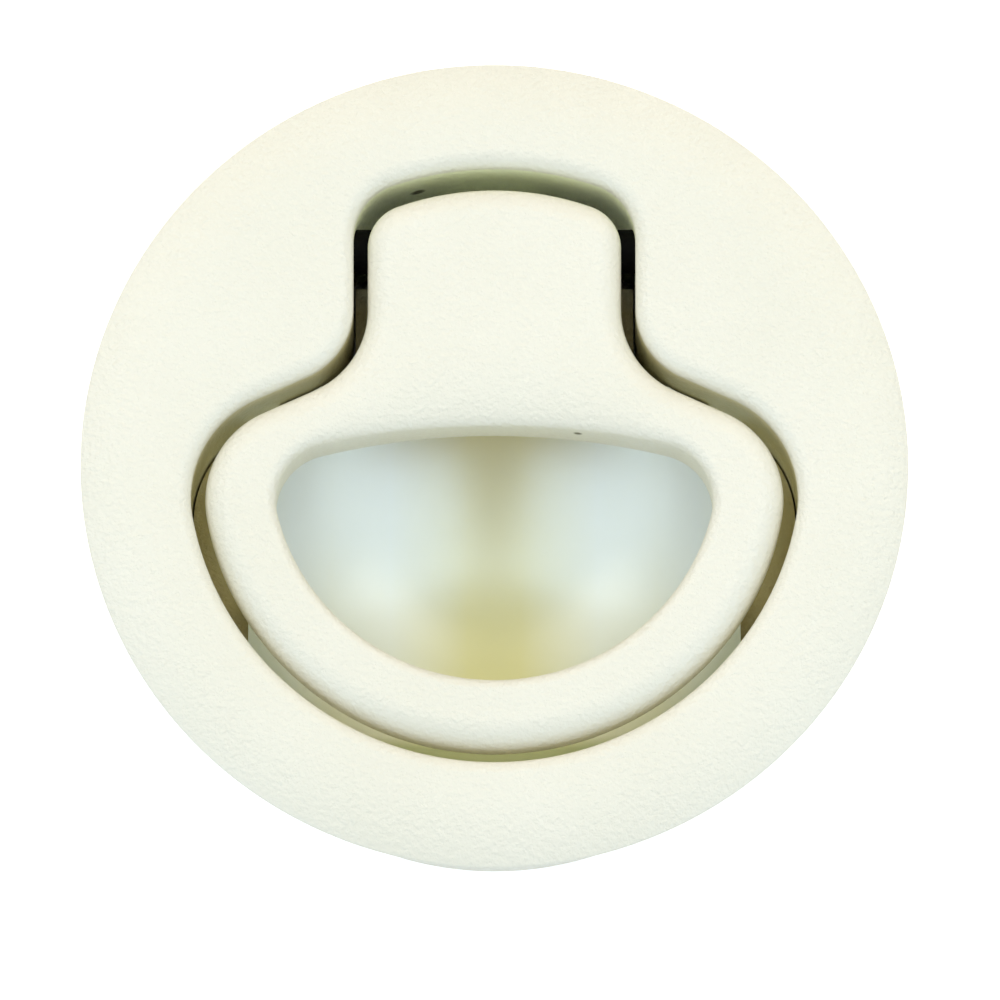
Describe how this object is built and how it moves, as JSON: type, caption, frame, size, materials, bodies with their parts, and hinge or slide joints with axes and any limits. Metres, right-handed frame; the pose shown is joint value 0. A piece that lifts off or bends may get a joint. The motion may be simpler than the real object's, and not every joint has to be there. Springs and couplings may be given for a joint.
{
  "type": "flush pull latch",
  "caption": "Round flush-mount pull latch: a hinged D-ring handle lies in the keyhole recess of a crowned bezel and draws back a spring bolt behind the panel.",
  "frame": {"origin": "centre of the panel hole on the panel's front face, under the bezel's gasket", "axes": "+Z out of the panel towards the user, +Y from the grip of the handle to its hinge, the way the bolt points"},
  "size_m": [0.0635, 0.0642, 0.0313],
  "materials": {
    "ivory_plastic": "fine spark-eroded texture, satin",
    "bowl_plastic": "smooth moulded",
    "steel": "bright",
    "black_plastic": "satin moulded",
    "gasket_rubber": "matte"
  },
  "bodies": {
    "housing_body": {"housing": "ivory_plastic", "flange_gasket": "gasket_rubber", "ring_nut": "ivory_plastic", "hinge_pin": "black_plastic", "torsion_spring_left": "steel", "torsion_spring_right": "steel", "finger_bowl": "bowl_plastic", "bolt_spring_left": "steel", "bolt_spring_right": "steel", "back_cover": "ivory_plastic", "cover_screws": "steel"},
    "handle_body": {"pull_handle": "ivory_plastic"},
    "bolt_body": {"latch_bolt": "black_plastic"}
  },
  "joints": [
    {"name": "handle_pull", "type": "hinge", "parent": "housing_body", "child": "handle_body", "pos_m": [0, 0.0177, -0.0009], "axis": [-1, 0, 0], "range_deg": [0, 50], "stiffness_Nm_per_rad": 0.04, "springref_deg": -60.73, "deforming": ["torsion_spring_left", "torsion_spring_right"]},
    {"name": "bolt_slide", "type": "slide", "parent": "housing_body", "child": "bolt_body", "axis": [0, -1, 0], "range_m": [0, 0.0072], "deforming": ["bolt_spring_left", "bolt_spring_right"]}
  ],
  "couplings": [
    {"joint": "bolt_slide", "follows": "handle_pull", "m_per_rad": 0.0082015}
  ]
}
